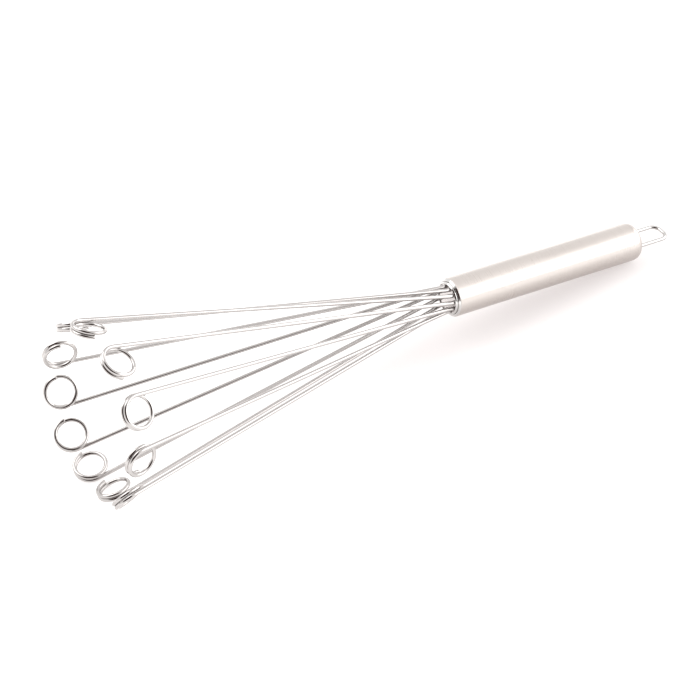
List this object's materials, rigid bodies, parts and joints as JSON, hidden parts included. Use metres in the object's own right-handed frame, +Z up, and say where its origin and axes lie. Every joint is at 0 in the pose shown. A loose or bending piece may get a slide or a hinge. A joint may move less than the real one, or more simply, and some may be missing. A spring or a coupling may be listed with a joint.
{
  "type": "coil whisk",
  "caption": "Hand whisk with a round steel tube handle, a wire hanging loop, and straight spring wires fanned in a cone, each ending in a small round coil.",
  "frame": {"origin": "centre of the bounding box at its base, on the surface that the whisk lies on", "axes": "+X towards the handle's hanging loop, -X towards the coils, +Z up from the surface; the whisk's own axis is tilted, so that it rests on the handle's rear rim and its two lowest coils"},
  "size_m": [0.3238, 0.0834, 0.0882],
  "materials": {
    "brushed_tube": "satin stainless tube with a fine brushed grain around the handle",
    "polished_rings": "mirror-polished stainless rings",
    "bright_wire": "bright drawn stainless spring wire",
    "plain_steel": "plain pressed stainless disc",
    "filler": "dark cast resin"
  },
  "bodies": {
    "handle": {"handle_tube": "brushed_tube", "end_cap": "brushed_tube", "hanging_loop": "bright_wire", "loop_anchor": "plain_steel", "front_bead": "polished_rings", "inner_ring": "polished_rings", "tine_holder": "plain_steel", "filler_plug": "filler", "tine_root_01": "bright_wire", "tine_root_02": "bright_wire", "tine_root_03": "bright_wire", "tine_root_04": "bright_wire", "tine_root_05": "bright_wire", "tine_root_06": "bright_wire", "tine_root_07": "bright_wire", "tine_root_08": "bright_wire", "tine_root_09": "bright_wire", "tine_root_10": "bright_wire", "tine_root_11": "bright_wire"},
    "tine_01": {"tine_01": "bright_wire"},
    "tine_02": {"tine_02": "bright_wire"},
    "tine_03": {"tine_03": "bright_wire"},
    "tine_04": {"tine_04": "bright_wire"},
    "tine_05": {"tine_05": "bright_wire"},
    "tine_06": {"tine_06": "bright_wire"},
    "tine_07": {"tine_07": "bright_wire"},
    "tine_08": {"tine_08": "bright_wire"},
    "tine_09": {"tine_09": "bright_wire"},
    "tine_10": {"tine_10": "bright_wire"},
    "tine_11": {"tine_11": "bright_wire"}
  },
  "joints": [
    {"name": "tine_01_flex", "type": "hinge", "parent": "handle", "child": "tine_01", "pos_m": [0.00875, -0.00363, 0.03392], "axis": [-0.0059, 0.9557, -0.2943], "range_deg": [-0.5, 8], "stiffness_Nm_per_rad": 1.4},
    {"name": "tine_02_flex", "type": "hinge", "parent": "handle", "child": "tine_02", "pos_m": [0.00854, -0.00833, 0.03162], "axis": [0.0644, 0.9523, 0.2982], "range_deg": [-2, 8], "stiffness_Nm_per_rad": 1.4},
    {"name": "tine_03_flex", "type": "hinge", "parent": "handle", "child": "tine_03", "pos_m": [0.00794, -0.01052, 0.02693], "axis": [0.1184, 0.6569, 0.7446], "range_deg": [-2, 8], "stiffness_Nm_per_rad": 1.4},
    {"name": "tine_04_flex", "type": "hinge", "parent": "handle", "child": "tine_04", "pos_m": [0.00712, -0.00951, 0.02121], "axis": [0.1456, 0.0324, 0.9888], "range_deg": [-2, 8], "stiffness_Nm_per_rad": 1.4},
    {"name": "tine_05_flex", "type": "hinge", "parent": "handle", "child": "tine_05", "pos_m": [0.00679, -0.00675, 0.01729], "axis": [0.1302, -0.4903, 0.8618], "range_deg": [-2, 8], "stiffness_Nm_per_rad": 1.4},
    {"name": "tine_06_flex", "type": "hinge", "parent": "handle", "child": "tine_06", "pos_m": [0.00658, -0.00124, 0.0155], "axis": [0.072, -0.9208, 0.3832], "range_deg": [-2, 8], "stiffness_Nm_per_rad": 1.4},
    {"name": "tine_07_flex", "type": "hinge", "parent": "handle", "child": "tine_07", "pos_m": [0.00679, 0.0035, 0.01709], "axis": [0.0174, -0.9961, -0.0867], "range_deg": [-0.5, 8], "stiffness_Nm_per_rad": 1.4},
    {"name": "tine_08_flex", "type": "hinge", "parent": "handle", "child": "tine_08", "pos_m": [0.00728, 0.00666, 0.02034], "axis": [-0.0298, -0.8652, -0.5005], "range_deg": [-0.5, 8], "stiffness_Nm_per_rad": 1.4},
    {"name": "tine_09_flex", "type": "hinge", "parent": "handle", "child": "tine_09", "pos_m": [0.00778, 0.00729, 0.02516], "axis": [-0.0676, -0.5549, -0.8292], "range_deg": [-2, 8], "stiffness_Nm_per_rad": 1.4},
    {"name": "tine_10_flex", "type": "hinge", "parent": "handle", "child": "tine_10", "pos_m": [0.00814, 0.00459, 0.03043], "axis": [-0.0889, 0.0959, -0.9914], "range_deg": [-2, 8], "stiffness_Nm_per_rad": 1.4},
    {"name": "tine_11_flex", "type": "hinge", "parent": "handle", "child": "tine_11", "pos_m": [0.00864, 0.00082, 0.03378], "axis": [-0.0549, 0.7219, -0.6898], "range_deg": [-0.5, 8], "stiffness_Nm_per_rad": 1.4}
  ]
}
